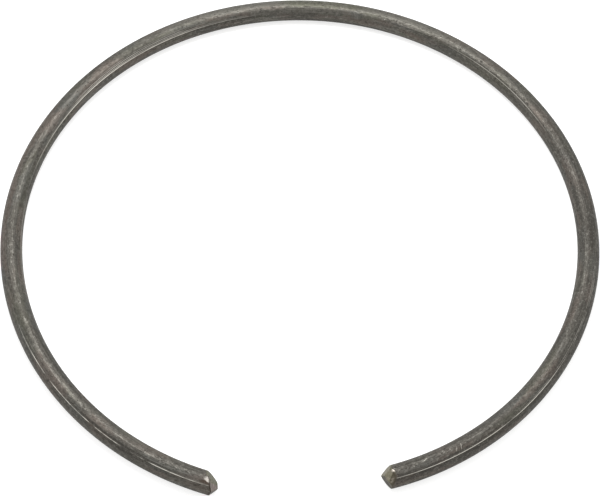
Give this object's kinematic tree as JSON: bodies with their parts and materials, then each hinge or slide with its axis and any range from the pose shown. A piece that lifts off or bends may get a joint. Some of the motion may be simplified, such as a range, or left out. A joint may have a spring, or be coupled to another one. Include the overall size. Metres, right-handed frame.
{
  "type": "round wire retaining ring",
  "caption": "Open circlip coiled from round spring wire, with a plain gap between two cut ends. It snaps into a groove in a bore and stops a part sliding out.",
  "frame": {"origin": "centre of the free ring, at the middle of the wire's thickness", "axes": "+Z along the ring's axis, with the raised seams on its upper flanks; -Y through the gap; +X to the right with the gap towards the viewer"},
  "size_m": [0.088, 0.0872, 0.0032],
  "materials": {
    "wire": "dark oxidised drawn spring steel, semi-gloss"
  },
  "bodies": {
    "root": {"ring": "wire"}
  },
  "joints": []
}
